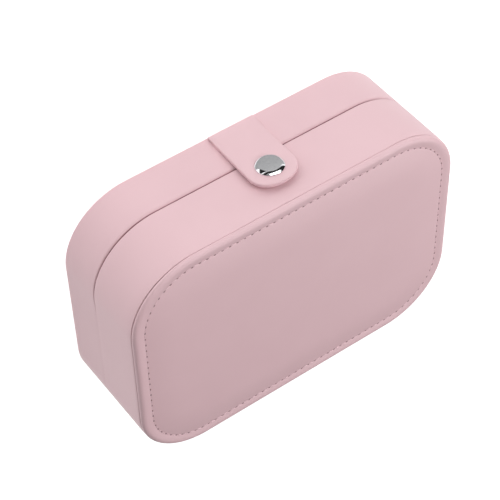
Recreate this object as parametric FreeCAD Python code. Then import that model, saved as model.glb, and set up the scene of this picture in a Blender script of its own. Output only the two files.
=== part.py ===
"""Travel jewellery case: two leather-covered halves on a leather hinge, closed by a strap with a press stud.

The case lies on its underside. X runs along its length, -Y is the front with the strap, +Z is up.
The origin is the centre of the underside. All sizes are in millimetres.
"""

import FreeCAD
import Part

import math
import os

Vector = FreeCAD.Vector
X_AXIS = Vector(1, 0, 0)
Z_AXIS = Vector(0, 0, 1)
CENTRE = Vector(0, 0, 0)

# Case outline and the heights of its two halves
case_length = 165.0
case_width = 117.0
corner_radius = 32.0
base_height = 22.2
lid_height = 28.6
rim_gap = 0.5

# Layers of the walls, from the outside in
leather = 1.0
shell_wall = 2.0
lining = 0.8
wrap_rim_round = 0.9
wrap_seam_round = 0.5

# Padded panels on the lid and on the underside
panel_height = 3.0
panel_board = 1.0
panel_inset = 0.4
panel_edge_round = 0.7
panel_seam_round = 0.2
stitch_inset = 6.4
stitch_groove_radius = 1.6
stitch_groove_depth = 0.4

# Closing strap, sewn into the seam of the underside panel
strap_width = 24.0
strap_outer_leather = 0.9
strap_inner_leather = 0.8
strap_wall_gap = 0.3
strap_end_margin = 12.0
anchor_length = 12.0
anchor_clearance = 0.1

# Press stud: cap and socket on the strap, stud and post on the lid's front wall
snap_above_rim = 9.2
snap_gap = 0.2
cap_diameter = 12.8
cap_height = 2.0
cap_crown_diameter = 9.4
cap_crown_height = 0.35
cap_edge_height = 0.5
rivet_diameter = 3.0
rivet_clearance = 0.05
socket_diameter = 10.4
socket_height = 1.3
socket_web = 0.3
socket_bore = 5.6
stud_flange_diameter = 9.6
stud_flange = 0.4
stud_knob_diameter = 4.4
stud_knob_height = 0.9
stud_knob_round = 0.4
stud_bore_depth = 0.9
post_head_diameter = 9.0
post_head = 0.6

# Leather hinge let into the back, and the lining strip behind it
hinge_end_margin = 3.0
hinge_reach = 12.0
hinge_leather = 0.6
hinge_crease_radius = 0.35
hinge_strip_end_margin = 7.0
hinge_strip_reach = 8.0
hinge_strip = 0.5

# Ring rolls, the fixed partition beside them and the loose dividers
inner_end_clearance = 1.0
roll_count = 5
roll_width = 12.0
roll_height = 15.0
roll_gap = 0.3
board_thickness = 2.4
board_edge_round = 1.0
partition_height = 15.0
divider_height = 14.5
divider_clearance = 0.3
long_divider_y = -6.0
front_divider_share = 0.46
back_divider_share = 0.6

# Necklace hooks on a strip near the lid's front edge
hook_count = 5
hook_pitch = 22.0
hook_strip_margin = 11.0
hook_strip_width = 12.0
hook_strip_height = 1.6
hook_strip_round = 0.6
hook_strip_wall_gap = 12.0
hook_wire = 1.4
hook_drop = 3.0
hook_bend = 1.6
hook_lip = 3.0
rosette_diameter = 6.0
rosette_height = 0.8
rosette_round = 0.3

# Gathered pocket on the hinge side of the lid
pocket_length = 116.0
pocket_width = 42.0
pocket_mouth = 7.0
pocket_foot = 1.2
pocket_cloth = 0.8
pocket_wall_gap = 8.0
elastic_width = 4.0
elastic_height = 0.8

# Heights and places that follow from the sizes above
half_length = case_length / 2
half_width = case_width / 2
lid_rim = base_height + rim_gap
case_height = lid_rim + lid_height
base_depth = base_height - panel_height
lid_depth = lid_height - panel_height
wall = leather + shell_wall + lining
base_floor = panel_height + shell_wall + lining
lid_ceiling = case_height - base_floor
cavity_half_length = half_length - wall
cavity_half_width = half_width - wall
snap_height = lid_rim + snap_above_rim
hinge_height = base_height + rim_gap / 2
strap_thickness = strap_outer_leather + strap_inner_leather
strap_axis_y = -half_width - strap_wall_gap - strap_thickness / 2
strap_axis_z = leather
strap_rise = stud_flange + socket_height + snap_gap - strap_wall_gap
strap_lean_height = snap_height - stud_flange_diameter / 2 - strap_axis_z
strap_tilt = math.degrees(math.atan2(strap_rise, strap_lean_height))
strap_snap_reach = (snap_height - strap_axis_z) / math.cos(math.radians(strap_tilt))
partition_x = -cavity_half_length + roll_gap + roll_count * (roll_width + roll_gap)
overcut = 5.0


def rounded_face(half_x, half_y, radius, z):
    """A face with straight sides and round corners, centred on the Z axis."""
    straight_x = half_x - radius
    straight_y = half_y - radius
    diagonal = radius * math.sqrt(0.5)
    edges = []
    for quarter, (cx, cy) in enumerate(
        [(straight_x, straight_y), (-straight_x, straight_y), (-straight_x, -straight_y), (straight_x, -straight_y)]
    ):
        turn = FreeCAD.Rotation(Z_AXIS, 90 * quarter)
        corner = Vector(cx, cy, z)
        start, middle, end = (
            corner + turn.multVec(v) for v in (Vector(radius, 0, 0), Vector(diagonal, diagonal, 0), Vector(0, radius, 0))
        )
        if edges:
            edges.append(Part.LineSegment(edges[-1].Vertexes[-1].Point, start).toShape())
        edges.append(Part.Arc(start, middle, end).toShape())
    edges.append(Part.LineSegment(edges[-1].Vertexes[-1].Point, edges[0].Vertexes[0].Point).toShape())
    return Part.Face(Part.Wire(edges))


def outline_face(inset, z):
    """The case's outline, moved in by the inset."""
    return rounded_face(half_length - inset, half_width - inset, corner_radius - inset, z)


def slab(inset, low, high):
    """A plate of the case's outline, moved in by the inset, between two heights."""
    return outline_face(inset, low).extrude(Vector(0, 0, high - low))


def box(x_range, y_range, z_range):
    """A block between two X, two Y and two Z values."""
    size = [high - low for low, high in (x_range, y_range, z_range)]
    return Part.makeBox(*size, Vector(x_range[0], y_range[0], z_range[0]))


def prism_along_x(points, half_x):
    """A block whose outline in Y and Z is given by its points, centred on X."""
    corners = [Vector(-half_x, y, z) for y, z in points]
    face = Part.Face(Part.makePolygon(corners + corners[:1]))
    return face.extrude(Vector(2 * half_x, 0, 0))


def depth_in_outline(point):
    """How far a point lies inside the case's outline, seen from above."""
    qx = abs(point.x) - (half_length - corner_radius)
    qy = abs(point.y) - (half_width - corner_radius)
    outside = math.hypot(max(qx, 0), max(qy, 0)) + min(max(qx, qy), 0)
    return corner_radius - outside


def outline_edges(shape, z, inset):
    """The edges of a shape at one height that follow the outline at one inset."""
    near = 1e-3
    found = []
    for edge in shape.Edges:
        level = abs(edge.BoundBox.ZMin - z) < near and abs(edge.BoundBox.ZMax - z) < near
        middle = edge.valueAt((edge.FirstParameter + edge.LastParameter) / 2)
        if level and abs(depth_in_outline(middle) - inset) < near:
            found.append(edge)
    return found


def flipped(shape, height):
    """A shape turned upside down, with its zero plane at the height."""
    return shape.mirror(CENTRE, Z_AXIS).translated(Vector(0, 0, height))


def wrap_band(depth):
    """Leather band of one half: it covers the panel's padding below zero and the wall above it, and turns over the rim."""
    seam = leather - panel_height
    band = slab(0, seam, depth)
    band = band.cut(slab(leather, -overcut, depth - leather))
    band = band.cut(slab(leather + shell_wall, -overcut, depth + overcut))
    band = band.makeFillet(wrap_rim_round, outline_edges(band, depth, 0))
    return band.makeFillet(wrap_seam_round, outline_edges(band, seam, 0))


def shell_tray(depth):
    """Moulded tray of one half, inside the leather band."""
    tray = slab(leather, 0, depth - leather)
    return tray.cut(slab(leather + shell_wall, shell_wall, depth + overcut))


def lining_floor():
    """Velvet on the floor of one tray."""
    return slab(leather + shell_wall, shell_wall, shell_wall + lining)


def lining_wall(depth):
    """Velvet around the inside of one tray, standing on the floor's velvet."""
    ring = slab(leather + shell_wall, shell_wall + lining, depth)
    return ring.cut(slab(wall, 0, depth + overcut))


def stitch_groove():
    """The dip that the stitching pulls into a panel, as a round bar along the stitch line."""
    bar_height = panel_height + stitch_groove_radius - stitch_groove_depth
    path = outline_face(stitch_inset, bar_height).OuterWire
    start = path.Edges[1]
    across = start.tangentAt(start.FirstParameter)
    ring = Part.Wire(Part.makeCircle(stitch_groove_radius, start.valueAt(start.FirstParameter), across))
    return Part.Wire(Part.sortEdges(path.Edges[1:] + path.Edges[:1])[0]).makePipeShell([ring], True, True)


def panel_cover():
    """Leather of a padded panel, on its foam and on the band's edge, with the dip of the stitching. Zero is the tray."""
    seam = panel_height - leather
    cover = slab(panel_inset, seam, panel_height)
    cover = cover.makeFillet(panel_edge_round, outline_edges(cover, panel_height, panel_inset))
    cover = cover.makeFillet(panel_seam_round, outline_edges(cover, seam, panel_inset))
    return cover.cut(stitch_groove())


def panel_boards():
    """Stiff board of a padded panel, against the tray and inside the leather band."""
    return slab(leather, 0, panel_board)


def panel_foam():
    """Foam sheet between a panel's board and its leather."""
    return slab(leather, panel_board, panel_height - leather)


def strap_anchor_block(clearance):
    """The strap's hidden end, glued flat between the underside's board and its leather, beside the foam."""
    half_x = strap_width / 2 + clearance
    inner_end = -half_width + anchor_length + clearance
    return box((-half_x, half_x), (-half_width - clearance, inner_end), (leather, panel_height - panel_board))


def hinge_block(end_margin, reach, y_range):
    """A strip across the split at the back, on the straight part of the wall."""
    half_x = half_length - corner_radius - end_margin
    return box((-half_x, half_x), y_range, (hinge_height - reach, hinge_height + reach))


def rod_along_y(diameter, y_from, y_to):
    """A round bar through the front wall at the height of the press stud."""
    return Part.makeCylinder(diameter / 2, y_to - y_from, Vector(0, y_from, snap_height), Vector(0, 1, 0))


def strap_plate(y_from, y_to, z_from):
    """One leather layer of the strap, upright on its fold, with a round end."""
    half_x = strap_width / 2
    end = strap_snap_reach + strap_end_margin
    sides = end - half_x
    corners = [Vector(half_x, y_from, sides), Vector(half_x, y_from, z_from), Vector(-half_x, y_from, z_from)]
    corners.append(Vector(-half_x, y_from, sides))
    lines = [Part.LineSegment(a, b).toShape() for a, b in zip(corners, corners[1:])]
    arc = Part.Arc(corners[-1], Vector(0, y_from, end), corners[0]).toShape()
    return Part.Face(Part.Wire(lines + [arc])).extrude(Vector(0, y_to - y_from, 0))


def strap_hole():
    """The punched hole for the cap's rivet, through both leather layers."""
    radius = rivet_diameter / 2 + rivet_clearance
    return Part.makeCylinder(radius, 2 * overcut, Vector(0, -overcut, strap_snap_reach), Vector(0, 1, 0))


def on_strap(shape):
    """Moves a piece from the upright strap to its place against the wall."""
    leaning = shape.rotated(CENTRE, X_AXIS, strap_tilt)
    return leaning.translated(Vector(0, strap_axis_y, strap_axis_z))


def facing_front(shape):
    """Turns a piece made along +Z to look out of the strap's outer face, at the press stud."""
    return shape.rotated(CENTRE, X_AXIS, 90).translated(Vector(0, 0, strap_snap_reach))


def snap_cap():
    """Domed cap with a rolled edge, and its rivet."""
    radius = cap_diameter / 2
    crown = cap_crown_diameter / 2
    shoulder = cap_height - cap_crown_height
    top = Vector(0, 0, cap_height)
    bend = Vector(crown, 0, shoulder)
    edge = Vector(radius, 0, cap_edge_height)
    crown_middle = Vector(crown / 2, 0, cap_height - cap_crown_height / 4)
    roll_middle = Vector(crown + (radius - crown) * math.sqrt(0.5), 0, cap_edge_height + (shoulder - cap_edge_height) * math.sqrt(0.5))
    profile = [
        Part.Arc(top, crown_middle, bend).toShape(),
        Part.Arc(bend, roll_middle, edge).toShape(),
        Part.LineSegment(edge, Vector(radius, 0, 0)).toShape(),
        Part.LineSegment(Vector(radius, 0, 0), CENTRE).toShape(),
        Part.LineSegment(CENTRE, top).toShape(),
    ]
    dome = Part.Face(Part.Wire(profile)).revolve(CENTRE, Z_AXIS, 360)
    rivet_length = strap_thickness + socket_web
    rivet = Part.makeCylinder(rivet_diameter / 2, rivet_length, Vector(0, 0, -rivet_length))
    return facing_front(dome.fuse(rivet).removeSplitter()).translated(Vector(0, -strap_thickness / 2, 0))


def snap_socket():
    """Ring behind the strap that clicks over the stud's knob."""
    ring = Part.makeCylinder(socket_diameter / 2, socket_height, Vector(0, 0, -socket_height))
    recess = socket_height - socket_web
    ring = ring.cut(Part.makeCylinder(socket_bore / 2, recess, Vector(0, 0, -socket_height)))
    hole = Part.makeCylinder(rivet_diameter / 2 + rivet_clearance, socket_height, Vector(0, 0, -socket_height))
    return facing_front(ring.cut(hole)).translated(Vector(0, strap_thickness / 2, 0))


def snap_stud():
    """Stud on the lid's front wall: a flange with a rounded knob, bored for the post."""
    flange = rod_along_y(stud_flange_diameter, -half_width - stud_flange, -half_width)
    knob_end = -half_width - stud_flange - stud_knob_height
    knob = rod_along_y(stud_knob_diameter, knob_end, -half_width)
    rim = [e for e in knob.Edges if abs(e.BoundBox.YMax - knob_end) < 1e-3]
    knob = knob.makeFillet(stud_knob_round, rim)
    bore = rod_along_y(rivet_diameter + 2 * rivet_clearance, -half_width - stud_bore_depth, -half_width + overcut)
    return flange.fuse(knob).removeSplitter().cut(bore)


def snap_post():
    """Post with a flat head inside the lid, riveted through the wall into the stud."""
    inside = -cavity_half_width
    head = rod_along_y(post_head_diameter, inside, inside + post_head)
    shank = rod_along_y(rivet_diameter, -half_width - stud_bore_depth + rivet_clearance, inside)
    return head.fuse(shank).removeSplitter()


def ring_roll(number):
    """Upright foam roll with a round top. Its ends stop short of the rounded corners of the cavity."""
    outer_x = -cavity_half_length + roll_gap + number * (roll_width + roll_gap)
    corner = corner_radius - wall
    into_corner = max(0, -outer_x - (cavity_half_length - corner))
    half_y = cavity_half_width - corner + math.sqrt(corner**2 - into_corner**2) - inner_end_clearance
    radius = roll_width / 2
    shoulder = base_floor + roll_height - radius
    left, middle, right = outer_x, outer_x + radius, outer_x + roll_width
    feet = [Vector(left, -half_y, shoulder), Vector(left, -half_y, base_floor)]
    feet += [Vector(right, -half_y, base_floor), Vector(right, -half_y, shoulder)]
    lines = [Part.LineSegment(a, b).toShape() for a, b in zip(feet, feet[1:])]
    crown = Part.Arc(feet[-1], Vector(middle, -half_y, base_floor + roll_height), feet[0]).toShape()
    return Part.Face(Part.Wire(lines + [crown])).extrude(Vector(0, 2 * half_y, 0))


def upright_board(x_range, y_range, height):
    """Velvet-covered board standing on the floor, with rounded upper edges."""
    board = box(x_range, y_range, (base_floor, base_floor + height))
    top = base_floor + height
    upper = [e for e in board.Edges if abs(e.BoundBox.ZMin - top) < 1e-3]
    long_edges = sorted(upper, key=lambda e: e.Length)[-2:]
    return board.makeFillet(board_edge_round, long_edges)


def necklace_hook(x):
    """Wire hook on a rosette: it drops from the strip and its tip turns to the front."""
    y = hook_strip_y
    root = lid_ceiling - hook_strip_height - rosette_height
    elbow = root - hook_drop
    low = elbow - hook_bend
    corner = Vector(x, y - hook_bend * (1 - math.sqrt(0.5)), elbow - hook_bend * math.sqrt(0.5))
    path = Part.Wire(
        [
            Part.LineSegment(Vector(x, y, root), Vector(x, y, elbow)).toShape(),
            Part.Arc(Vector(x, y, elbow), corner, Vector(x, y - hook_bend, low)).toShape(),
            Part.LineSegment(Vector(x, y - hook_bend, low), Vector(x, y - hook_bend - hook_lip, low)).toShape(),
        ]
    )
    section = Part.Wire(Part.makeCircle(hook_wire / 2, Vector(x, y, root), Z_AXIS))
    wire = path.makePipeShell([section], True, True)
    tip = Part.makeSphere(hook_wire / 2, Vector(x, y - hook_bend - hook_lip, low))
    rosette = Part.makeCylinder(rosette_diameter / 2, rosette_height, Vector(x, y, root))
    rim = [e for e in rosette.Edges if abs(e.BoundBox.ZMax - root) < 1e-3]
    rosette = rosette.makeFillet(rosette_round, rim)
    return rosette.fuse([wire, tip]).removeSplitter()


def pocket_parts():
    """Cloth pocket hanging under the ceiling, open towards the front, and the elastic along its mouth."""
    back = cavity_half_width - pocket_wall_gap
    front = back - pocket_width
    slope = (pocket_mouth - pocket_foot) / pocket_width
    low_front = lid_ceiling - pocket_mouth
    outer = [(front, lid_ceiling), (back, lid_ceiling), (back, lid_ceiling - pocket_foot), (front, low_front)]
    inner_back = back - pocket_cloth
    inner_foot = lid_ceiling - pocket_foot - slope * pocket_cloth + pocket_cloth
    inner_mouth = low_front + pocket_cloth - slope * overcut
    inner = [(front - overcut, lid_ceiling + overcut), (inner_back, lid_ceiling + overcut)]
    inner += [(inner_back, inner_foot), (front - overcut, inner_mouth)]
    cloth = prism_along_x(outer, pocket_length / 2).cut(prism_along_x(inner, pocket_length / 2 - pocket_cloth))
    rise = slope * elastic_width
    band = [(front, low_front), (front + elastic_width, low_front + rise)]
    band += [(front + elastic_width, low_front + rise - elastic_height), (front, low_front - elastic_height)]
    return cloth, prism_along_x(band, pocket_length / 2)


hook_strip_y = -cavity_half_width + hook_strip_wall_gap + hook_strip_width / 2
parts = {}

# Base: tray, leather band, velvet and the panel that it stands on
base_up = Vector(0, 0, panel_height)
anchor_slot = strap_anchor_block(anchor_clearance)
hinge_seat = hinge_block(hinge_end_margin, hinge_reach, (half_width - hinge_leather, half_width + overcut))
parts["base_shell"] = shell_tray(base_depth).translated(base_up)
parts["base_side_wrap"] = wrap_band(base_depth).translated(base_up).cut(hinge_seat).cut(anchor_slot)
parts["base_lining_floor"] = lining_floor().translated(base_up)
parts["base_lining_wall"] = lining_wall(base_depth).translated(base_up)
parts["base_panel_board"] = flipped(panel_boards(), panel_height)
parts["base_panel_foam"] = flipped(panel_foam(), panel_height).cut(anchor_slot)
parts["base_panel_cover"] = flipped(panel_cover(), panel_height)
parts["strap_anchor"] = strap_anchor_block(0)

# Lid: the same layers upside down, bored for the press stud's post
lid_seam = case_height - panel_height
post_hole = rod_along_y(rivet_diameter + 2 * rivet_clearance, -half_width - overcut, -cavity_half_width + overcut)
parts["lid_shell"] = flipped(shell_tray(lid_depth), lid_seam).cut(post_hole)
parts["lid_side_wrap"] = flipped(wrap_band(lid_depth), lid_seam).cut(post_hole).cut(hinge_seat)
parts["lid_lining_ceiling"] = flipped(lining_floor(), lid_seam)
parts["lid_lining_wall"] = flipped(lining_wall(lid_depth), lid_seam).cut(post_hole)
parts["lid_panel_board"] = panel_boards().translated(Vector(0, 0, lid_seam))
parts["lid_panel_foam"] = panel_foam().translated(Vector(0, 0, lid_seam))
parts["lid_panel_cover"] = panel_cover().translated(Vector(0, 0, lid_seam))

# Leather hinge with its crease on the axis, and the lining strip inside
crease_length = case_length
crease = Part.makeCylinder(hinge_crease_radius, crease_length, Vector(-half_length, half_width, hinge_height), X_AXIS)
hinge_cover = hinge_block(hinge_end_margin, hinge_reach, (half_width - hinge_leather, half_width))
parts["hinge_leather"] = hinge_cover.cut(crease)
strip_face = cavity_half_width
parts["hinge_lining"] = hinge_block(hinge_strip_end_margin, hinge_strip_reach, (strip_face - hinge_strip, strip_face))

# Strap with its fold on the axis, and the press stud
fold = Part.makeCylinder(strap_thickness / 2, strap_width, Vector(-strap_width / 2, 0, 0), X_AXIS)
layer_split = -strap_thickness / 2 + strap_outer_leather
strap_outer = strap_plate(-strap_thickness / 2, layer_split, 0).fuse(fold).removeSplitter().cut(strap_hole())
strap_inner = strap_plate(layer_split, strap_thickness / 2, 0).cut(fold).cut(strap_hole())
parts["strap_outer"] = on_strap(strap_outer)
parts["strap_inner"] = on_strap(strap_inner)
parts["snap_cap"] = on_strap(snap_cap())
parts["snap_socket"] = on_strap(snap_socket())
parts["snap_stud"] = snap_stud()
parts["snap_post"] = snap_post()

# Ring rolls and boards in the base
for number in range(roll_count):
    parts[f"ring_roll_{number + 1}"] = ring_roll(number)
board_end = cavity_half_width - inner_end_clearance
partition_right = partition_x + board_thickness
parts["ring_partition"] = upright_board((partition_x, partition_right), (-board_end, board_end), partition_height)
divider_left = partition_right + divider_clearance
divider_right = cavity_half_length - inner_end_clearance
long_front = long_divider_y - board_thickness / 2
long_back = long_divider_y + board_thickness / 2
parts["long_divider"] = upright_board((divider_left, divider_right), (long_front, long_back), divider_height)


def cross_divider(share, y_range):
    """A short divider that stands across the compartments, at a share of their length."""
    left = divider_left + share * (divider_right - divider_left) - board_thickness / 2
    return upright_board((left, left + board_thickness), y_range, divider_height)


parts["front_divider"] = cross_divider(front_divider_share, (-board_end, long_front - divider_clearance))
parts["back_divider"] = cross_divider(back_divider_share, (long_back + divider_clearance, board_end))

# Necklace hooks and pocket in the lid
strip_half_length = (hook_count - 1) * hook_pitch / 2 + hook_strip_margin
strip_y = (hook_strip_y - hook_strip_width / 2, hook_strip_y + hook_strip_width / 2)
strip_bottom = lid_ceiling - hook_strip_height
hook_strip = box((-strip_half_length, strip_half_length), strip_y, (strip_bottom, lid_ceiling))
hook_strip_rim = [e for e in hook_strip.Edges if abs(e.BoundBox.ZMax - strip_bottom) < 1e-3]
parts["hook_strip"] = hook_strip.makeFillet(hook_strip_round, hook_strip_rim)
for number in range(hook_count):
    parts[f"necklace_hook_{number + 1}"] = necklace_hook((number - (hook_count - 1) / 2) * hook_pitch)
parts["pocket_cloth"], parts["pocket_elastic"] = pocket_parts()

os.makedirs("parts", exist_ok=True)
for name, shape in parts.items():
    solids = shape.Solids
    if not solids or not shape.isValid():
        raise ValueError(f"{name} is not a valid solid")
    piece = solids[0] if len(solids) == 1 else Part.makeCompound(solids)
    piece.exportStep(f"parts/{name}.step")
print(len(parts), "parts, strap leans", round(strap_tilt, 2), "degrees, case height", round(case_height, 2))
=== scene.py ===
import math

import bmesh
import bpy
import numpy as np
from mathutils import Matrix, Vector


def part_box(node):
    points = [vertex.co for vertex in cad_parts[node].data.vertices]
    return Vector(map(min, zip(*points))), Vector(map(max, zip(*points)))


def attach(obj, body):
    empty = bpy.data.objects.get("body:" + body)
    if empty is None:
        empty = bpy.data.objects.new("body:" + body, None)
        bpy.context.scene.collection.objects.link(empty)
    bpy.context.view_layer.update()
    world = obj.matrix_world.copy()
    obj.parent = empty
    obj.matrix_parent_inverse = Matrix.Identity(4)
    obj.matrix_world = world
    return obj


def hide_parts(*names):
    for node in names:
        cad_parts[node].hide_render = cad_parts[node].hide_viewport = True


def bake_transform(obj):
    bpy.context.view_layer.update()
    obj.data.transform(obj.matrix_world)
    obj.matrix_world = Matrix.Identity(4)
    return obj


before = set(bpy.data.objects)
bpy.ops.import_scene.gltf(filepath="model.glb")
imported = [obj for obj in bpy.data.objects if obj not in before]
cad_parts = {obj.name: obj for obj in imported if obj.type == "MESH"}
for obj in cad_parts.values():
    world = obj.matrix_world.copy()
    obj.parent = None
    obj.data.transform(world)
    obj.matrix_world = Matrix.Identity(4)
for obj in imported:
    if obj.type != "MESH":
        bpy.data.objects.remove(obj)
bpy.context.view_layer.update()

# Underside panel
# One piece of grained leather over a foam sheet and a board, with a turned edge and a row of stitches all
# round. It closes the underside of the base, and the case stands on it.
# Sizes are in millimetres, and mm turns them into the scene's metres.
mm = 0.001
case_length, case_width, corner_radius = 165.0, 117.0, 32.0
cover_thickness = 1.0
side_cells = 96
pink_light, pink_deep = (0.80, 0.548, 0.583, 1), (0.788, 0.536, 0.571, 1)


def case_outline():
    """Rounded rectangle of the case, in four runs of equal steps from one corner's middle to the next.

    Returns the points and the outward directions, as arrays.
    """
    arc = corner_radius * math.pi / 4
    points, directions = [], []
    for turn in range(4):
        run_length, side_width = (case_width, case_length) if turn % 2 else (case_length, case_width)
        straight = run_length - 2 * corner_radius
        at = np.linspace(0, 2 * arc + straight, side_cells, endpoint=False)
        angle = np.where(at < arc, math.pi / 4 - at / corner_radius, 0)
        angle = np.where(at > arc + straight, -(at - arc - straight) / corner_radius, angle)
        run = straight / 2 - np.clip(at - arc, 0, straight)
        out_run, out_side = np.sin(angle), np.cos(angle)
        side = side_width / 2 - corner_radius
        place = np.stack([run + corner_radius * out_run, side + corner_radius * out_side], 1)
        facing = np.stack([out_run, out_side], 1)
        quarter = turn * math.pi / 2
        spin = np.array([[math.cos(quarter), math.sin(quarter)], [-math.sin(quarter), math.cos(quarter)]])
        points.append(place @ spin)
        directions.append(facing @ spin)
    return np.concatenate(points), np.concatenate(directions)


def grid_quads(rows, columns, closed_rows, closed_columns):
    """Corner numbers of the four-sided faces of a grid of points, row by row."""
    r = np.arange(rows if closed_rows else rows - 1)[:, None]
    c = np.arange(columns if closed_columns else columns - 1)[None]
    r_next, c_next = (r + 1) % rows, (c + 1) % columns
    corners = [r * columns + c, r * columns + c_next, r_next * columns + c_next, r_next * columns + c]
    return np.stack(np.broadcast_arrays(*corners), -1).reshape(-1, 4)


def make_piece(name, points, quads, material):
    """A closed mesh from points in millimetres.

    Its volume, summed over the faces as products of three corners, tells whether they have to be turned
    over.
    """
    merge_distance, sliver = 1e-7, 1e-8
    a, b, c, d = (points[quads[:, k]] for k in range(4))
    volume = (np.cross(a, b) * c).sum() + (np.cross(a, c) * d).sum()
    if volume < 0:
        quads = quads[:, ::-1]
    mesh = bpy.data.meshes.new(name)
    mesh.from_pydata((points * mm).tolist(), [], quads.tolist())
    piece = bpy.data.objects.new(name, mesh)
    bpy.context.scene.collection.objects.link(piece)
    work = bmesh.new()
    work.from_mesh(mesh)
    bmesh.ops.remove_doubles(work, verts=work.verts, dist=merge_distance)
    bmesh.ops.dissolve_degenerate(work, edges=work.edges, dist=sliver)
    work.to_mesh(mesh)
    work.free()
    mesh.polygons.foreach_set("use_smooth", np.ones(len(mesh.polygons), bool))
    mesh.materials.append(material)
    mesh.update()
    return piece


def new_material(name, roughness):
    """A material before its pattern. Returns it, its node tree, its shader and its Object coordinates."""
    material = bpy.data.materials.new(name)
    material.use_nodes = True
    tree = material.node_tree
    shader = tree.nodes["Principled BSDF"]
    shader.inputs["Roughness"].default_value = roughness
    place = tree.nodes.new("ShaderNodeTexCoord").outputs["Object"]
    return material, tree, shader, place


def noise(tree, place, scale, detail=2.0):
    """A noise pattern with so many cells to the metre."""
    node = tree.nodes.new("ShaderNodeTexNoise")
    node.inputs["Scale"].default_value = scale
    node.inputs["Detail"].default_value = detail
    tree.links.new(place, node.inputs["Vector"])
    return node.outputs["Fac"]


def mixed_colour(tree, shader, factor, low, high, span=(0.3, 0.7)):
    """Base colour that runs between two colours with a pattern."""
    ramp = tree.nodes.new("ShaderNodeValToRGB")
    ramp.color_ramp.elements[0].position, ramp.color_ramp.elements[1].position = span
    ramp.color_ramp.elements[0].color, ramp.color_ramp.elements[1].color = low, high
    tree.links.new(factor, ramp.inputs["Fac"])
    tree.links.new(ramp.outputs["Color"], shader.inputs["Base Color"])


def raised(tree, shader, height, depth, strength=1.0, before=None):
    """Relief of a surface from a pattern, so many metres deep."""
    bump = tree.nodes.new("ShaderNodeBump")
    bump.inputs["Distance"].default_value = depth
    bump.inputs["Strength"].default_value = strength
    tree.links.new(height, bump.inputs["Height"])
    if before is not None:
        tree.links.new(before, bump.inputs["Normal"])
    tree.links.new(bump.outputs["Normal"], shader.inputs["Normal"])
    return bump.outputs["Normal"]


def varied_roughness(tree, shader, factor, low, high):
    """Roughness that runs between two values with a pattern."""
    spread = tree.nodes.new("ShaderNodeMapRange")
    spread.inputs["To Min"].default_value = low
    spread.inputs["To Max"].default_value = high
    tree.links.new(factor, spread.inputs["Value"])
    tree.links.new(spread.outputs["Result"], shader.inputs["Roughness"])


def grained_leather(name, light, deep):
    """Fine-grained leather: small rounded pebbles with creases between them, over slow changes of tone."""
    material, tree, shader, place = new_material(name, roughness=0.5)
    mixed_colour(tree, shader, noise(tree, place, 55), deep, light)
    pebbles = tree.nodes.new("ShaderNodeTexVoronoi")
    pebbles.feature = "SMOOTH_F1"
    pebbles.inputs["Scale"].default_value = 1500
    pebbles.inputs["Smoothness"].default_value = 0.6
    tree.links.new(place, pebbles.inputs["Vector"])
    grain = raised(tree, shader, pebbles.outputs["Distance"], depth=0.00006, strength=0.28)
    raised(tree, shader, noise(tree, place, 260, 3), depth=0.00008, strength=0.25, before=grain)
    varied_roughness(tree, shader, noise(tree, place, 400), low=0.44, high=0.56)
    shader.inputs["Specular IOR Level"].default_value = 0.42
    return material


leather = grained_leather("pink_leather", pink_light, pink_deep)
outline, outward = case_outline()


def ring_points(inset, height):
    """The outline moved in by each inset of a profile and lifted to its height, in one row each.

    Both may be one value for a row or one for each point of the outline.
    """
    inset, height = (np.asarray(v, float).reshape(len(v), -1, 1) for v in (inset, height))
    flat = outline[None] - inset * outward[None]
    return np.concatenate([flat, np.broadcast_to(height, (*flat.shape[:2], 1))], 2)


def field_points(ring, height):
    """Fills a ring with a square grid: each smaller square is the ring shrunk towards the middle.

    Returns the grid's points, with the ring's own at its border, and the corner numbers of its faces.
    """
    half, around = side_cells // 2, 4 * side_cells
    steps_out = np.arange(side_cells + 1) - half
    row, column = np.meshgrid(steps_out, steps_out, indexing="ij")
    square = np.maximum(abs(row), abs(column))
    share = square / half
    level = np.maximum(square, 1)
    side = np.select([column == level, row == -level, column == -level], [0, 1, 2], 3)
    side = np.where(row == level, 3, side)
    ways = [-row / level, -column / level, row / level]
    way = np.select([side == 0, side == 1, side == 2], ways, column / level)
    step = (side + (1 + way) / 2) * side_cells % around
    first = np.floor(step).astype(int)
    part = (step - first)[..., None]
    edge = ring[first % around] * (1 - part) + ring[(first + 1) % around] * part
    flat = edge[..., :2] * share[..., None]
    points = np.concatenate([flat, height(flat)[..., None]], 2).reshape(-1, 3)
    return points, grid_quads(side_cells + 1, side_cells + 1, False, False)


def depth_inside(flat):
    """Distance of points from the outline: the corner radius less the distance past the inner corner."""
    past = abs(flat) - (np.array([case_length, case_width]) / 2 - corner_radius)
    outside = np.hypot(*np.moveaxis(np.maximum(past, 0), -1, 0)) + np.minimum(past.max(-1), 0)
    return corner_radius - outside


stitch_inset, stitch_pitch = 5.6, 3.65
stitch_dip, stitch_furrow = 0.42, 0.07
dip_width, furrow_width, padding_width = 1.8, 0.4, 15.0
face_level, edge_power, field_inset = cover_thickness - 0.05, 2.2, 11.5


def panel_face(depth, crown, inset, roll):
    """Height of a panel's face over its seam at a depth from the outline.

    The edge is a quarter of a slightly squared ellipse. The stitching holds the field down: the border
    falls to it along one side of a bell curve, with a narrow furrow under the thread, and inside the
    padding rises to the crown along a parabola.
    """
    over = np.clip((roll[0] + inset - depth) / roll[0], 0, 1)
    rolled = roll[1] * (1 - (1 - over**edge_power) ** (1 / edge_power))
    beside = depth - stitch_inset
    dip = stitch_dip * np.exp(-((np.minimum(beside, 0) / dip_width) ** 2))
    furrow = stitch_furrow * np.exp(-((beside / furrow_width) ** 2))
    padding = crown * (1 - (1 - np.clip(beside / padding_width, 0, 1)) ** 2)
    return face_level - rolled - dip - furrow + padding


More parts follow.
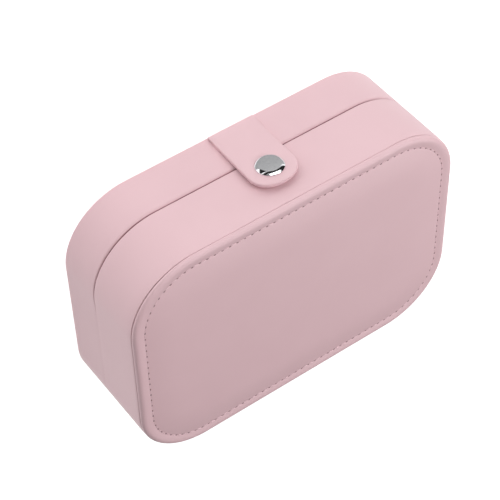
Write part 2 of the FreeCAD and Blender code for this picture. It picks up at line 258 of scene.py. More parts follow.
# Dark brown for the tongue and the edge under each panel's roll: painted shade in the groove beside the side
# band.
groove_shade, tree, shader, place = new_material("painted_groove_shade", roughness=0.9)
mixed_colour(tree, shader, noise(tree, place, 900), (0.2, 0.1, 0.105, 1), (0.3, 0.165, 0.175, 1))


def padded_panel(name, seam, flipped, crown, inset, roll, tongue):
    """A panel's leather: rings of a turned-edge profile around a square grid, on both faces.

    The roll gives the width and the height of the rounded edge, which starts at the inset from the
    outline. The tongue, given by its inset and its depth, lies under the edge and closes the groove
    beside the side band. The tongue and the edge under the roll are dark brown: painted shade in the groove.
    """
    edge = inset + roll[0] * (1 - np.cos(np.linspace(0, math.pi / 2, 17)))
    near, far = stitch_inset - 1, stitch_inset + 1
    border = np.linspace(edge[-1] + 0.3, near - 0.3, 6)
    stitched, inside = np.linspace(near, far, 21), np.linspace(far + 0.4, field_inset, 9)
    face = np.concatenate([edge, border, stitched, inside])
    height = panel_face(face, crown, inset, roll)
    # The edge under the roll runs from the flat underside down the tongue and back up to the start of the
    # roll. Its rows up to the ledge take the dark brown of painted groove shade.
    ledge, foot = height[0] - 0.1, height[0] - tongue[1]
    lip = [(1.9, 0), (1.6, 0), (tongue[0] + 0.3, foot), (tongue[0], foot), (tongue[0], ledge)]
    shade_rows = len(lip)
    lip += [(inset + 0.15, ledge), (inset + 0.03, height[0] - 0.06)]
    lip_inset, lip_height = zip(*lip)
    rings = ring_points([*lip_inset, *face], [*lip_height, *height])
    body = rings.reshape(-1, 3)
    top, top_quads = field_points(rings[-1], lambda flat: panel_face(depth_inside(flat), crown, inset, roll))
    bottom, bottom_quads = field_points(rings[0], lambda flat: np.zeros(flat.shape[:-1]))
    quads = [grid_quads(*rings.shape[:2], False, True)]
    quads.append(top_quads[:, ::-1] + len(body))
    quads.append(bottom_quads + len(body) + len(top))
    points = np.concatenate([body, top, bottom])
    points[:, 2] = seam - points[:, 2] if flipped else seam + points[:, 2]
    panel = make_piece(name, points, np.concatenate(quads), leather)
    # The rows up to the ledge take the dark brown, painted shade in the groove.
    panel.data.materials.append(groove_shade)
    groove_shaded = np.arange(len(panel.data.polygons)) // rings.shape[1] < shade_rows
    panel.data.polygons.foreach_set("material_index", groove_shaded.astype(np.int32))
    return panel


base_panel = padded_panel("base_panel", cover_thickness, flipped=True, crown=0.3, inset=0.5,
                          roll=(2.3, 0.7), tongue=(0.36, 0.5))
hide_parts("base_panel_cover")
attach(base_panel, "base")

# Trays, boards and foam
# A moulded tray makes the walls of each half. Under each panel's leather, grey board carries the shape
# and a thin foam sheet makes the face soft, with the strap's glued end beside it. None of these shows on
# the closed case.
board, tree, shader, place = new_material("grey_board", roughness=0.9)
mixed_colour(tree, shader, noise(tree, place, 900, 4), (0.3, 0.28, 0.26, 1), (0.42, 0.4, 0.37, 1))
raised(tree, shader, noise(tree, place, 2500), depth=0.00005, strength=0.5)
foam, tree, shader, place = new_material("white_foam", roughness=0.95)
mixed_colour(tree, shader, noise(tree, place, 1800, 3), (0.72, 0.71, 0.68, 1), (0.86, 0.85, 0.82, 1))
raised(tree, shader, noise(tree, place, 2200), depth=0.0001, strength=0.6)
tray, tree, shader, place = new_material("moulded_tray", roughness=0.6)
mixed_colour(tree, shader, noise(tree, place, 300), (0.5, 0.48, 0.48, 1), (0.55, 0.53, 0.53, 1))
raised(tree, shader, noise(tree, place, 3000), depth=0.00002, strength=0.5)


def dress(material, *nodes):
    """Gives CAD nodes a material."""
    for node in nodes:
        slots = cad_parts[node].data.materials
        slots.clear()
        slots.append(material)


dress(board, "base_panel_board", "lid_panel_board")
dress(foam, "base_panel_foam", "lid_panel_foam")
dress(tray, "base_shell", "lid_shell")
dress(leather, "strap_anchor")

# Side bands
# Each half's wall is covered by a band of the same leather, glued on the tray. The velvet lining is
# turned over the rim to meet it. The case closes tight at the hinge and stands slightly open at the
# front.
velvet_deep, velvet_light = (0.42, 0.2, 0.235, 1), (0.55, 0.29, 0.325, 1)


def short_velvet(name, deep, light):
    """Velvet: brushed patches of tone, a fine pile as relief, and a soft sheen."""
    material, tree, shader, place = new_material(name, roughness=0.9)
    mixed_colour(tree, shader, noise(tree, place, 120, 3), deep, light)
    pile = raised(tree, shader, noise(tree, place, 4000, 1), depth=0.00015, strength=0.5)
    raised(tree, shader, noise(tree, place, 180, 2), depth=0.0002, strength=0.3, before=pile)
    shader.inputs["Sheen Weight"].default_value = 0.7
    shader.inputs["Sheen Roughness"].default_value = 0.4
    shader.inputs["Sheen Tint"].default_value = (1.0, 0.78, 0.8, 1)
    shader.inputs["Specular IOR Level"].default_value = 0.15
    return material


velvet = short_velvet("pink_velvet", velvet_deep, velvet_light)
split_height, front_gap, back_gap, front_drop = 22.45, 0.8, 0.03, 0.45
lid_face, base_seam, lid_seam = 51.9, 0.4, 49.72
wedge_start, wedge_end, wedge_power = -18.0, -case_width / 2, 0.7
seam_round, closed_rim_round = 0.28, 0.07
draw_height, front_proud, lining_inset = 2.5, 0.04, 3.0


def wedge():
    """How open the split is along the outline, from 0 to 1.

    It is shut from the hinge to past the middle of both ends, then opens with a power of the distance.
    """
    return np.clip((outline[:, 1] - wedge_start) / (wedge_end - wedge_start), 0, 1) ** wedge_power


def side_band(name, node, seam, way, draw_in, rim_round, leather_edge):
    """A closed strip round the tray: rounded at the seam, straight along the wall and rolled over the rim.

    It is drawn in at the seam along a parabola. The rim lies half the slit away from the split, its
    rounding tightens where the halves meet, and the leather stands a hair proud of the case's outline in
    front.
    """
    slit = back_gap + (front_gap - back_gap) * wedge()
    rim = split_height - front_drop * wedge() - way * slit / 2
    edge = closed_rim_round + (rim_round - closed_rim_round) * wedge()
    start = -front_proud * wedge()
    turn = np.linspace(0, math.pi / 2, 9)
    low = seam + way * draw_height
    # The edge tucked in at the seam, as insets and heights.
    tucked = [(leather_edge, 0.8), (leather_edge, 0.15), (leather_edge - 0.05, 0.03), (seam_round + 0.04, 0)]
    tucked += [(seam_round * (1 - math.sin(t)), seam_round * (1 - math.cos(t))) for t in turn]
    tucked += [(0, up) for up in np.linspace(seam_round, draw_height, 8)[1:]]
    rows = []
    for inset, up in tucked:
        drawn = draw_in * (1 - up / draw_height) ** 2
        rows.append((inset + drawn + start, seam + way * up + 0 * rim))
    rows += [(start, low + (rim - way * edge - low) * share) for share in np.linspace(0, 1, 9)[1:-1]]
    rows += [(edge * (1 - math.cos(t)) + start, rim - way * edge * (1 - math.sin(t))) for t in turn]
    # The lining turned over the rim, as insets and depths, starts just before the rounding ends.
    leather_rows = len(rows) - 3
    lining = [(2.1, 0), (lining_inset - 0.3, 0), (lining_inset - 0.05, 0.15), (lining_inset, 0.6)]
    lining += [(lining_inset, 2), (2.2, 2.2)]
    rows += [(inset + start, rim - way * down) for inset, down in lining]
    points = ring_points(np.array([row[0] for row in rows]), np.array([row[1] for row in rows]))
    quads = grid_quads(len(rows), points.shape[1], True, True)
    band = make_piece(name, points.reshape(-1, 3), quads, leather)
    band.data.materials.append(velvet)
    lined = np.arange(len(quads)) // points.shape[1] >= leather_rows
    band.data.polygons.foreach_set("material_index", lined.astype(np.int32))
    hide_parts(node)
    return band


base_band = side_band("base_band", "base_side_wrap", base_seam, way=1, draw_in=0, rim_round=1.3,
                      leather_edge=0.42)
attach(base_band, "base")

# The groove under the lid's rolled edge widens towards both ends.
groove_more, groove_start, groove_run = 0.3, 45, 30
lid_groove = groove_more * np.clip((abs(outline[:, 0]) - groove_start) / groove_run, 0, 1)
lid_band = side_band("lid_band", "lid_side_wrap", lid_seam - lid_groove, way=-1, draw_in=0.25, rim_round=0.35,
                     leather_edge=0.7)
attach(lid_band, "lid")

# Velvet lining
# Short-pile velvet is glued over the floor, the ceiling and the walls inside, and over the boards that
# divide the base. Its pile catches the light at a low angle and brushes into slightly lighter and darker
# patches.
dress(velvet, "base_lining_floor", "base_lining_wall", "lid_lining_ceiling", "lid_lining_wall")
dress(velvet, "ring_partition", "long_divider", "front_divider", "back_divider", "hook_strip")

# Ring rolls
# Each roll is a bar of soft foam sewn into velvet. Five stand side by side and rings are pushed into the
# slots between them, so they are full, rounded on top and pulled in at their sewn ends.
roll_velvet = short_velvet("roll_velvet", (0.45, 0.22, 0.255, 1), (0.59, 0.32, 0.355, 1))
roll_gap, roll_swell, swell_angle, floor_gap = 0.1, 0.012, 5, 0.02
side_power, top_power, foot_power = 0.62, 0.86, 0.4
sewn_length, sewn_share, sewn_sink = 4.0, 0.35, 0.2


def ring_roll(name):
    """A stuffed bar: a rounded section, flat at the foot, shrinks along a quarter circle at each end.

    The section's sides, top and foot are a circle's sine and cosine, each raised to a power of its own. A
    slow cosine along the bar swells it a little.
    """
    low, high = (np.array(corner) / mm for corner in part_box(name))
    middle, half_width = (low[0] + high[0]) / 2, (high[0] - low[0]) / 2 - roll_gap
    half_length, height = (high[1] - low[1]) / 2, high[2] - low[2]
    around = np.linspace(0, 2 * math.pi, 64, endpoint=False)
    across = np.sign(np.cos(around)) * abs(np.cos(around)) ** side_power
    up_power = np.where(np.sin(around) > 0, top_power, foot_power)
    up = np.sign(np.sin(around)) * abs(np.sin(around)) ** up_power
    sewn = -half_length + sewn_length * (1 - np.sin(np.linspace(0, math.pi / 2, 12)))
    straight = np.linspace(-half_length + sewn_length, half_length - sewn_length, 40)
    at = np.sort(np.concatenate([sewn, straight, -sewn]))
    short = np.clip(sewn_length - (half_length - abs(at)), 0, sewn_length) / sewn_length
    grow = sewn_share + (1 - sewn_share) * np.sqrt(np.maximum(1 - short**2, 0))
    swell = 1 - roll_swell * np.cos(at / half_length * swell_angle)
    x = middle + half_width * across[None] * (grow * swell)[:, None]
    centre, half_height = low[2] + height / 2, height / 2
    sunk = (1 - grow)[:, None] * half_height * sewn_sink
    z = np.maximum(centre + half_height * up[None] * (grow * swell)[:, None] - sunk, low[2] + floor_gap)
    body = np.stack([x, np.broadcast_to(at[:, None], x.shape), z], 2)
    caps = [body[k].mean(0)[None].repeat(len(around), 0)[None] for k in (0, -1)]
    points = np.concatenate([caps[0], body, caps[1]])
    quads = grid_quads(len(points), len(around), False, True)
    roll = make_piece(name.replace("ring_roll", "velvet_roll"), points.reshape(-1, 3), quads, roll_velvet)
    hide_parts(name)
    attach(roll, "base")


for number in range(1, 6):
    ring_roll(f"ring_roll_{number}")

# Closing strap
# Two layers of leather, glued and trimmed to a round end. The thinned root comes out of the seam of the
# underside panel, bends up the front wall and stands off it where the press stud lies.
strap_lean = math.radians(3.51)
strap_axis_y, strap_axis_z, snap_height = -59.65, 1.0, 31.9
root_y, root_z, root_bend = -57.0, 1.45, 0.9
strap_half_width, strap_half_thick, strap_end = 11.4, 0.85, 10.2
strap_slant, strap_side = 0.046, 0.17
strap_round, layer_gap, layer_notch, end_power = 0.28, 0.06, 0.12, 0.9
root_share, thin_length, fine_length = 0.5, 7, 6
stud_dent, dent_radius, dented_above = 0.3, 8.0, 0.5
edge_sag, sag_width, sag_start, sag_run = 0.75, 6.5, 2, 8
bend_angle = math.pi / 2 - strap_lean
bend_top = root_z + root_bend * (1 - math.cos(bend_angle))
lean_run = (bend_top - strap_axis_z) * math.tan(strap_lean)
root_run = root_y - strap_axis_y + lean_run - root_bend * math.sin(bend_angle)
root_to_snap = root_run + root_bend * bend_angle + (snap_height - bend_top) / math.cos(strap_lean)


def strap_path(length):
    """The strap's middle line from its root: straight out of the seam, a tight bend up, then a leaning line.

    Returns the place (y, z) and the outward direction at each length.
    """
    turned = np.clip((length - root_run) / root_bend, 0, bend_angle)
    rest = np.maximum(length - root_run - root_bend * bend_angle, 0)
    y = root_y - np.minimum(length, root_run) - root_bend * np.sin(turned) - rest * math.sin(strap_lean)
    z = root_z + root_bend * (1 - np.cos(turned)) + rest * math.cos(strap_lean)
    return np.stack([y, z], -1), np.stack([-np.sin(turned), -np.cos(turned)], -1)


def eased(share):
    """A smooth step: three times the share's square less twice its cube."""
    return share * share * (3 - 2 * share)


def strap_mesh():
    """A band with a round end: a profile of the edge runs up one side, round the end and down the other.

    Insets reach from the edge to the middle line. Two small arcs with a notch between them are the glued
    layers. The root is thinner, the stud's cap presses a dent, the edges sag towards the wall along a
    parabola, and the whole strap slants a little to one side of the stud.
    """
    side = np.concatenate([np.linspace(0, fine_length, 25), np.linspace(fine_length, root_to_snap, 41)[1:]])
    sweep = np.linspace(0, math.pi, 65)[1:-1]
    right = np.stack([np.full(len(side), strap_half_width), side], 1)
    across, onward = (np.sign(v) * abs(v) ** end_power for v in (np.cos(sweep), np.sin(sweep)))
    end = np.stack([strap_half_width * across, root_to_snap + strap_end * onward], 1)
    left = right[::-1] * [-1, 1]
    rim = np.concatenate([right, end, left])
    core = np.stack([0 * rim[:, 0], np.minimum(rim[:, 1], root_to_snap)], 1)
    turn = np.linspace(0, math.pi / 2, 7)
    layer = strap_half_thick - layer_gap
    arc = [(strap_round * (1 - math.cos(t)), layer_gap + layer * math.sin(t)) for t in turn]
    outer = arc + [(d, strap_half_thick) for d in (0.9, 2.0, 4.0, 6.0, 8.0, 10.0, strap_half_width)]
    inner = [(d, -h) for d, h in outer[::-1]]
    profile = np.array(inner + [(layer_notch, 0)] + outer)
    inset, height = profile[:, 0, None, None] / strap_half_width, profile[:, 1, None]
    flat = rim[None] * (1 - inset) + core[None] * inset
    thick = root_share + (1 - root_share) * eased(np.clip(flat[..., 1] / thin_length, 0, 1))
    from_stud = np.hypot(flat[..., 0], flat[..., 1] - root_to_snap)
    dent = stud_dent * np.exp(-((from_stud / dent_radius) ** 6))
    free = eased(np.clip((flat[..., 1] - sag_start) / sag_run, 0, 1))
    sag = edge_sag * np.clip(1 - inset[..., 0] * strap_half_width / sag_width, 0, 1) ** 2 * free
    level = height * thick - np.where(height > dented_above, dent, 0) - sag
    place, facing = strap_path(flat[..., 1])
    y = place[..., 0] + facing[..., 0] * level
    z = place[..., 1] + facing[..., 1] * level
    x = flat[..., 0] + strap_side + strap_slant * (flat[..., 1] - root_to_snap)
    points = np.stack([x, y, z], 2)
    quads = [grid_quads(*points.shape[:2], False, False)]
    closing = np.arange(len(profile)) * points.shape[1]
    pairs = np.stack([closing[:-1], closing[1:]], 1)
    far = points.shape[1] - 1
    quads.append(np.stack([pairs[:, 0], pairs[:, 0] + far, pairs[:, 1] + far, pairs[:, 1]], 1))
    return points.reshape(-1, 3), np.concatenate(quads)


strap = make_piece("strap", *strap_mesh(), leather)
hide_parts("strap_outer", "strap_inner")
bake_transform(strap)

# Press stud
# A pressed steel cap with a polished, slightly crowned face and a tightly rolled edge is riveted through
# the strap. Its socket clicks over the stud on the lid's front wall.
steel, tree, shader, place = new_material("polished_steel", roughness=0.12)
shader.inputs["Metallic"].default_value = 1
mixed_colour(tree, shader, noise(tree, place, 700), (0.82, 0.82, 0.84, 1), (0.88, 0.88, 0.9, 1))
raised(tree, shader, noise(tree, place, 500, 1), depth=0.00001, strength=0.05)
varied_roughness(tree, shader, noise(tree, place, 1500), low=0.09, high=0.13)
snap_side, cap_sink = 0.52, 0.35
cap_radius, cap_height, cap_round = 6.4, 2.0, 0.52
face_radius, bevel_start, bevel_end = 4.75, 5.0, 6.266
face_tilt, bevel_tilt, edge_tilt = 8, 28, 48


def turned_piece(name, profile, place, material, turns=96):
    """A turned part: the profile of radius and height is spun about its axis, then placed by a function."""
    angle = np.linspace(0, 2 * math.pi, turns, endpoint=False)
    radius, height = np.array(profile, float).T
    x = radius[:, None] * np.cos(angle)
    y = radius[:, None] * np.sin(angle)
    points = np.stack([x, y, np.broadcast_to(height[:, None], x.shape)], 2)
    quads = grid_quads(*points.shape[:2], False, True)
    return make_piece(name, place(points.reshape(-1, 3)), quads, material)


def on_strap(points):
    """Turns a part made along +Z to look out of the strap's face at the press stud."""
    reach = (snap_height - strap_axis_z) / math.cos(strap_lean)
    y, z = -points[:, 2] - strap_half_thick + cap_sink, points[:, 1] + reach
    lean_y = y * math.cos(strap_lean) - z * math.sin(strap_lean)
    lean_z = y * math.sin(strap_lean) + z * math.cos(strap_lean)
    return np.stack([points[:, 0] + snap_side, lean_y + strap_axis_y, lean_z + strap_axis_z], 1)


def cap_profile():
    """Radius and height of the cap, from the middle of its face round the edge to the middle of its foot.

    The tilt grows with the radius over the face and its bevel, and the height falls by the sum of the
    slopes. An arc makes the rolled edge.
    """
    radius = np.linspace(0, bevel_end, 64)
    tilt = np.interp(radius, [0, face_radius, bevel_start, bevel_end], [0, face_tilt, bevel_tilt, edge_tilt])
    slope = np.tan(np.radians(tilt))
    drop = np.concatenate([[0], np.cumsum((slope[1:] + slope[:-1]) / 2 * np.diff(radius))])
    turn = np.radians(np.linspace(edge_tilt, 90, 9))
    edge_radius = cap_radius - cap_round * (1 - np.sin(turn))
    edge_height = cap_height - drop[-1] - cap_round * (math.cos(turn[0]) - np.cos(turn))
    profile = [*zip(radius, cap_height - drop), *zip(edge_radius[1:], edge_height[1:])]
    foot = [(6.38, 0.15), (6.2, 0.03), (5.8, 0.0), (3.0, 0.0), (0, 0.0)]
    return profile + foot


snap_cap = turned_piece("snap_cap_dome", cap_profile(), on_strap, steel)
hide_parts("snap_cap")
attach(snap_cap, "strap")
dress(steel, "snap_socket", "snap_stud", "snap_post")

# Leather hinge
# A strip of leather across the split at the back joins the halves, with a crease at the split. A strip of
# velvet covers it inside.
strip_sink, crease_depth, crease_width = 0.25, 0.3, 0.5


def hinge_strip(name, node, material, proud, rounding):
    """A thin strip over the split, with a flat face against the wall and a face that shows.

    The face that shows rises along a quarter circle from its edges and has a bell-shaped crease at the
    split. The leather stands proud of its node outside, and the lining, with nothing proud, fills its
    node inside.
    """
    low, high = (np.array(corner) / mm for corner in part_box(node))
    half_length, half_height = (high[0] - low[0]) / 2, (high[2] - low[2]) / 2
    x = (low[0] + high[0]) / 2 + half_length * np.sin(np.linspace(-1, 1, 81) * math.pi / 2)
    border, fold = np.sin(np.linspace(-1, -0.28, 14) * math.pi / 2), np.linspace(-0.4, 0.4, 41)
    share = np.concatenate([border, fold, [0.5]])
    share = np.unique(np.concatenate([share, -share]))
    xx, zz = np.meshgrid(x, split_height + half_height * share, indexing="ij")
    edge = np.minimum(half_length - abs(xx), half_height - abs(zz - split_height))
    soft = np.sqrt(np.maximum(1 - (1 - np.clip(edge / rounding, 0, 1)) ** 2, 0))
    crease = crease_depth * soft * np.exp(-(((zz - split_height) / crease_width) ** 2))
    if proud > 0:
        wall = high[1] - strip_sink
        shown = wall + (proud + strip_sink) * soft - crease
    else:
        wall = high[1]
        shown = wall - (high[1] - low[1]) * soft + crease
    shown_points = np.stack([xx, shown, zz], 2).reshape(-1, 3)
    wall_points = np.stack([xx, 0 * xx + wall, zz], 2).reshape(-1, 3)
    quads = grid_quads(*xx.shape, False, False)
    points = np.concatenate([shown_points, wall_points])
    strip = make_piece(name, points, np.concatenate([quads, quads[:, ::-1] + xx.size]), material)
    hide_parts(node)
    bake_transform(strip)
    return strip


hinge_cover = hinge_strip("hinge_cover", "hinge_leather", leather, proud=0.3, rounding=0.8)
hinge_inside = hinge_strip("hinge_inside", "hinge_lining", velvet, proud=0, rounding=0.6)

# Lid panel
# The same padded panel as the underside, but fuller. The border is lock-stitched with a thick thread of
# the same colour, whose stitches lie in the furrow with a needle hole at each end. The underside is
# stitched here too.
lid_panel = padded_panel("lid_panel", lid_face - cover_thickness, flipped=False, crown=1.1, inset=0.12,
                         roll=(2.4, 1.85), tongue=(1.0, 0.8))
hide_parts("lid_panel_cover")
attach(lid_panel, "lid")
thread, tree, shader, place = new_material("pink_thread", roughness=0.7)
mixed_colour(tree, shader, noise(tree, place, 1600), (0.74, 0.51, 0.545, 1), (0.84, 0.6, 0.64, 1))
raised(tree, shader, noise(tree, place, 5000, 1), depth=0.00008, strength=0.6)
# Near-black rose for the needle holes: painted shade on small buttons in the furrow, where the holes are.
hole_shade, tree, shader, place = new_material("painted_hole_shade", roughness=0.95)
mixed_colour(tree, shader, noise(tree, place, 1600), (0.26, 0.135, 0.15, 1), (0.34, 0.19, 0.21, 1))
stitch_half, stitch_slant = 0.35 * stitch_pitch, 0.14
thread_radius, thread_sink, end_dive, end_thinning = 0.33, 0.2, 0.35, 0.75
hole_half_width, hole_half_length = 0.48, 0.75


def stitch_line(centre_share, offsets):
    """Points along the stitching line: a row for each stitch, with the same offsets in millimetres along it.

    Returns the points, the outward directions and the number of stitches.
    """
    line = outline - stitch_inset * outward
    closed, facing = (np.concatenate([v, v[:1]]) for v in (line, outward))
    at = np.concatenate([[0], np.cumsum(np.linalg.norm(np.diff(closed, axis=0), axis=1))])
    count = round(at[-1] / stitch_pitch)
    where = ((np.arange(count)[:, None] + centre_share) / count * at[-1] + offsets) % at[-1]
    place = np.stack([np.interp(where, at, closed[:, k]) for k in (0, 1)], -1)
    side = np.stack([np.interp(where, at, facing[:, k]) for k in (0, 1)], -1)
    return place, side, count


def stitch_row(name, seam, flipped):
    """All stitches of one panel: short tubes along the stitch line, evenly spaced, slightly aslant.

    Each dives at its ends with the fourth power of the distance from its middle, and thins there.
    """
    share, sides = np.linspace(-1, 1, 9), 8
    place, side, count = stitch_line(0.5, share * stitch_half)
    place = place + side * (share * stitch_slant)[None, :, None]
    arch = cover_thickness - stitch_dip - thread_sink - end_dive * share**4
    radius = thread_radius * np.sqrt(1 - share**6 * end_thinning)
    turn = np.linspace(0, 2 * math.pi, sides, endpoint=False)
    flat = place[:, :, None] + side[:, :, None] * (radius[:, None] * np.cos(turn))[None, :, :, None]
    lift = np.broadcast_to(arch[:, None] + radius[:, None] * np.sin(turn), flat.shape[:3])
    points = np.concatenate([flat, lift[..., None]], 3)
    ends = points.mean(2, keepdims=True)
    first, last = np.repeat(ends[:, :1], sides, 2), np.repeat(ends[:, -1:], sides, 2)
    points = np.concatenate([first, points, last], 1)
    points[..., 2] = seam - points[..., 2] if flipped else seam + points[..., 2]
    one = grid_quads(points.shape[1], sides, False, True)
    quads = (one[None] + (np.arange(count) * points.shape[1] * sides)[:, None, None]).reshape(-1, 4)
    return make_piece(name, points.reshape(-1, 3), quads, thread)


def needle_holes(name, seam, flipped):
    """The holes between the stitches: small dark buttons, painted shade, longer along the line, seated in the
    furrow.
    """
    place, side, count = stitch_line(0.0, np.zeros(1))
    rings, sides = np.array([(0, 0.1), (0.55, 0.08), (0.85, 0.0), (1.0, -0.25), (0, -0.25)]), 12
    turn = np.linspace(0, 2 * math.pi, sides, endpoint=False)
    across = hole_half_width * rings[:, :1] * np.cos(turn)
    onward = hole_half_length * rings[:, :1] * np.sin(turn)
    ahead = np.stack([-side[..., 1], side[..., 0]], -1)
    flat = place[:, :, None] + side[:, :, None] * across[None, ..., None]
    flat = flat + ahead[:, :, None] * onward[None, ..., None]
    floor_height = face_level - stitch_dip - stitch_furrow
    lift = np.broadcast_to(floor_height + rings[:, 1:] + 0 * across, flat.shape[:3])
    points = np.concatenate([flat, lift[..., None]], 3)
    points[..., 2] = seam - points[..., 2] if flipped else seam + points[..., 2]
    one = grid_quads(len(rings), sides, False, True)
    quads = (one[None] + (np.arange(count) * len(rings) * sides)[:, None, None]).reshape(-1, 4)
    return make_piece(name, points.reshape(-1, 3), quads, hole_shade)


for body, seam, flipped in (("lid", lid_face - cover_thickness, False), ("base", cover_thickness, True)):
    stitches = stitch_row(body + "_stitches", seam, flipped)
    holes = needle_holes(body + "_needle_holes", seam, flipped)
    for piece in (stitches, holes):
        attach(piece, body)

# Necklace hooks
# Bent from round steel wire, each on a small rosette riveted to the velvet strip at the lid's front edge.
# The tip is rounded and turned towards the front, so a chain stays on when the lid stands open.
wire_radius, wire_drop, wire_bend, wire_lip = 0.7, 3.0, 1.6, 4.6
rosette_radius, rosette_height = 3.0, 0.8
rosette_rim = [(0, rosette_height), (2.9, rosette_height), (rosette_radius, 0.7), (rosette_radius, 0.3)]
rosette_face = [(2.9, 0.1), (2.7, 0), (1.6, -0.08), (1.0, -0.3), (0, -0.3)]


def necklace_hook(name):
    """A wire tube along a drop, a quarter bend and a lip, closed by a round tip, with its turned rosette."""
    low, high = (np.array(corner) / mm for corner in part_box(name))
    x, y, root = (low[0] + high[0]) / 2, high[1] - rosette_radius, high[2] - rosette_height
    swing = np.linspace(0, math.pi / 2, 12)
    tip = np.linspace(0, math.pi / 2, 7)[1:]
    bend_y, bend_z = y - wire_bend * (1 - np.cos(swing)), root - wire_drop - wire_bend * np.sin(swing)
    lip_y = [y - 3.0, y - wire_lip]
    level = np.ones(len(lip_y) + len(tip))
    line_y = np.concatenate([[y, y], bend_y, lip_y, y - wire_lip - wire_radius * np.sin(tip)])
    line_z = np.concatenate([[root + 0.2, root - 1.5], bend_z, level * bend_z[-1]])
    heading = np.concatenate([[0, 0], swing, level * math.pi / 2])[:, None]
    size = np.concatenate([np.full(len(line_y) - len(tip), wire_radius), wire_radius * np.cos(tip)])
    turn = np.linspace(0, 2 * math.pi, 16, endpoint=False)
    across, rise = size[:, None] * np.cos(turn), size[:, None] * np.sin(turn)
    tube_y, tube_z = line_y[:, None] + rise * np.cos(heading), line_z[:, None] - rise * np.sin(heading)
    tube = np.stack([x + across, tube_y, tube_z], 2)
    start = tube[:1].mean(1, keepdims=True).repeat(len(turn), 1)
    tube = np.concatenate([start, tube])
    radius, height = np.array(rosette_rim + rosette_face).T[..., None]
    angle = np.linspace(0, 2 * math.pi, 32, endpoint=False)
    disc_x, disc_y = x + radius * np.cos(angle), y + radius * np.sin(angle)
    rosette = np.stack([disc_x, disc_y, root + height + 0 * angle], 2)
    points = np.concatenate([tube.reshape(-1, 3), rosette.reshape(-1, 3)])
    quads = [grid_quads(*tube.shape[:2], False, True)[:, ::-1]]
    quads.append(grid_quads(*rosette.shape[:2], False, True) + tube.size // 3)
    hook = make_piece(name.replace("necklace_hook", "wire_hook"), points, np.concatenate(quads), steel)
    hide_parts(name)
    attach(hook, "lid")


for number in range(1, 6):
    necklace_hook(f"necklace_hook_{number}")

# Lid pocket
# A panel of thin velvet cloth, sewn to the ceiling along its back and both ends. It is gathered on an
# elastic in the hem of its mouth, which hangs a little open.
pocket_velvet = short_velvet("pocket_velvet", (0.46, 0.23, 0.265, 1), (0.6, 0.33, 0.365, 1))
pocket_low, pocket_high = (np.array(corner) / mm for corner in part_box("pocket_cloth"))
pocket_columns, pocket_rows = 233, 41
pocket_end, seam_drop, mouth_drop, cloth_thickness = 9, 0.9, 5.2, 0.5
gather_pitch, gather_depth = 6.4, 0.45


def pocket_drop(x, forward):
    """How far the cloth hangs below the ceiling, at a share of the way from the back seam to the mouth.

    It deepens evenly to the mouth and rises along a quarter circle to both ends. Gathers are a wave along
    the mouth, slightly uneven, that fades with the square of the share towards the seam.
    """
    ends = np.clip((pocket_high[0] - abs(x)) / pocket_end, 0, 1)
    ends = np.sqrt(np.maximum(1 - (1 - ends) ** 2, 0))
    hang = seam_drop + mouth_drop * forward * ends
    uneven = 1.1 * np.sin(x * 0.21)
    wave = np.sin(x * 2 * math.pi / gather_pitch + uneven)
    fade = 0.12 + 0.5 * forward**2
    return hang - gather_depth * wave * fade * ends


def pocket_cloth():
    """A sheet with both faces: a grid along the pocket and from seam to mouth, equally thick all over."""
    x = np.linspace(pocket_low[0], pocket_high[0], pocket_columns)
    xx, forward = np.meshgrid(x, np.linspace(0, 1, pocket_rows), indexing="ij")
    y = pocket_high[1] - forward * (pocket_high[1] - pocket_low[1])
    lower = np.stack([xx, y, pocket_high[2] - pocket_drop(xx, forward)], 2)
    upper = lower + [0, 0, cloth_thickness]
    quads = grid_quads(*xx.shape, False, False)
    number = np.arange(xx.size).reshape(xx.shape)
    ring = np.concatenate([number[0], number[1:, -1], number[-1, -2::-1], number[-2:0:-1, 0]])
    after = np.roll(ring, -1)
    hem = np.stack([ring, after, after + xx.size, ring + xx.size], 1)
    points = np.concatenate([lower.reshape(-1, 3), upper.reshape(-1, 3)])
    return points, np.concatenate([quads, quads[:, ::-1] + xx.size, hem[:, ::-1]])


pocket = make_piece("pocket_sheet", *pocket_cloth(), pocket_velvet)
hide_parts("pocket_cloth")
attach(pocket, "lid")
hem_inset, hem_centre, hem_lift = 0.6, 1.6, 0.15
hem_half_width, hem_half_height, hem_ripple = 1.7, 0.85, 0.12


def elastic_hem():
    """A soft flat tube along the pocket's mouth that follows its gathers, with two ripples to each."""
    x = np.linspace(pocket_low[0] + hem_inset, pocket_high[0] - hem_inset, pocket_columns)
    turn = np.linspace(0, 2 * math.pi, 20, endpoint=False)
    middle = pocket_high[2] - pocket_drop(x, 1.0) + hem_lift
    plump = hem_half_height + hem_ripple * np.sin(x * 4 * math.pi / gather_pitch)
    z = middle[:, None] + plump[:, None] * np.sin(turn)[None]
    y = np.broadcast_to(pocket_low[1] + hem_centre + hem_half_width * np.cos(turn), z.shape)
    points = np.stack([np.broadcast_to(x[:, None], z.shape), y, z], 2)
    ends = [points[k].mean(0)[None].repeat(len(turn), 0)[None] for k in (0, -1)]
    points = np.concatenate([ends[0], points, ends[1]])
    return points.reshape(-1, 3), grid_quads(len(points), len(turn), False, True)


elastic = make_piece("elastic_hem", *elastic_hem(), pocket_velvet)
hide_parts("pocket_elastic")
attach(elastic, "lid")

# Studio
# A white floor under three soft lights, in front, above and at one side, as for a catalogue picture. Two
# cards on the floor show only in shiny pieces, so that the stud's cap has something grey and dark to
# mirror.
floor_level, card_level = -3e-4, -1e-4
tone_near, tone_far = -0.07, -0.17


def stage_sheet(name, x, y, level):
    """A flat sheet of the studio between two values of x and two of y, at a level."""
    mesh = bpy.data.meshes.new(name)
    corners = [(x[0], y[0], level), (x[1], y[0], level), (x[1], y[1], level), (x[0], y[1], level)]
    mesh.from_pydata(corners, [], [(0, 1, 2, 3)])
    sheet = bpy.data.objects.new(name, mesh)
    bpy.context.scene.collection.objects.link(sheet)
    return sheet


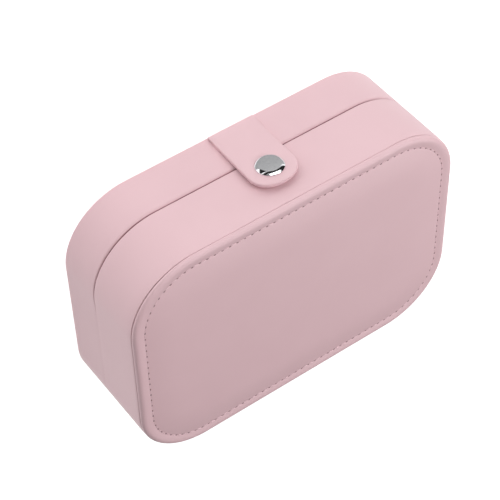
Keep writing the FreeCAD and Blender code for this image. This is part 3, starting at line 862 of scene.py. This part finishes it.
floor = stage_sheet("floor", (-6, 6), (-6, 6), floor_level)
white, tree, shader, place = new_material("white_floor", roughness=0.9)
shader.inputs["Base Color"].default_value = (0.3, 0.3, 0.3, 1)
shader.inputs["Specular IOR Level"].default_value = 0
shader.inputs["Emission Color"].default_value = (1, 1, 1, 1)
shader.inputs["Emission Strength"].default_value = 1.0
floor.data.materials.append(white)


def glossy_card(name, x, y, dark, bright):
    """A card on the floor that only shows in shiny pieces. Its tone rises with the distance from the case."""
    card = stage_sheet(name, x, y, card_level)
    card.visible_camera = card.visible_diffuse = card.visible_shadow = card.visible_transmission = False
    tone, tree, shader, place = new_material(name, roughness=0.9)
    shader.inputs["Base Color"].default_value = (0, 0, 0, 1)
    shader.inputs["Specular IOR Level"].default_value = 0
    shader.inputs["Emission Color"].default_value = (1, 1, 1, 1)
    axes = tree.nodes.new("ShaderNodeSeparateXYZ")
    tree.links.new(place, axes.inputs["Vector"])
    spread = tree.nodes.new("ShaderNodeMapRange")
    limits = {"From Min": tone_near, "From Max": tone_far, "To Min": dark, "To Max": bright}
    for socket, value in limits.items():
        spread.inputs[socket].default_value = value
    tree.links.new(axes.outputs["Y"], spread.inputs["Value"])
    tree.links.new(spread.outputs["Result"], shader.inputs["Emission Strength"])
    card.data.materials.append(tone)


glossy_card("grey_card", (-0.25, 0.03), (-1.2, -0.064), dark=0.4, bright=0.58)
glossy_card("black_strip", (0.03, 0.2), (-0.6, -0.1), dark=0.02, bright=0.02)
world = bpy.data.worlds.new("studio")
bpy.context.scene.world = world
world.use_nodes = True
world.node_tree.nodes["Background"].inputs["Color"].default_value = (1, 1, 1, 1)
world.node_tree.nodes["Background"].inputs["Strength"].default_value = 0.02


def soft_light(name, place, width, height, power):
    """A soft light turned towards the case. Its axes are cross products of upright and its aim."""
    aim = np.array([0, 0, 0.03])
    lamp = bpy.data.lights.new(name, "AREA")
    lamp.shape, lamp.size, lamp.size_y, lamp.energy = "RECTANGLE", width, height, power
    holder = bpy.data.objects.new(name, lamp)
    bpy.context.scene.collection.objects.link(holder)
    back = np.array(place, float) - aim
    back = back / np.linalg.norm(back)
    right = np.cross([0, 0, 1], back)
    right = right / np.linalg.norm(right)
    up = np.cross(back, right)
    turn = np.eye(4)
    turn[:3, 0], turn[:3, 1], turn[:3, 2], turn[:3, 3] = right, up, back, place
    holder.matrix_world = Matrix(turn.tolist())


soft_light("front_light", (-0.1, -0.65, 0.7), width=1.2, height=0.6, power=6.4)
soft_light("top_light", (-0.5, 0.2, 0.8), width=0.6, height=0.6, power=4.0)
soft_light("side_light", (0.5, -0.6, 0.6), width=0.7, height=0.7, power=0.45)

# Camera
# A long lens looks down at the front from the right. It is rolled over, so that the case appears to stand
# on its back as in the photograph.
camera_data = bpy.data.cameras.new("camera")
camera_data.lens = 122.724
camera_data.sensor_width = 36
camera_data.clip_start = 0.01
camera = bpy.data.objects.new("camera", camera_data)
bpy.context.scene.collection.objects.link(camera)
camera_place = (0.28509, -0.55435, 0.42752)
forward = np.array([-0.37982, 0.74436, -0.54924])
above = np.array([-0.44655, -0.66751, -0.59584])
forward = forward / np.linalg.norm(forward)
above = above - forward * (above @ forward)
above = above / np.linalg.norm(above)
view = np.eye(4)
view[:3, 0], view[:3, 1], view[:3, 2] = np.cross(forward, above), above, -forward
view[:3, 3] = camera_place
camera.matrix_world = Matrix(view.tolist())
bpy.context.scene.camera = camera
bpy.context.scene.view_settings.view_transform = "Standard"
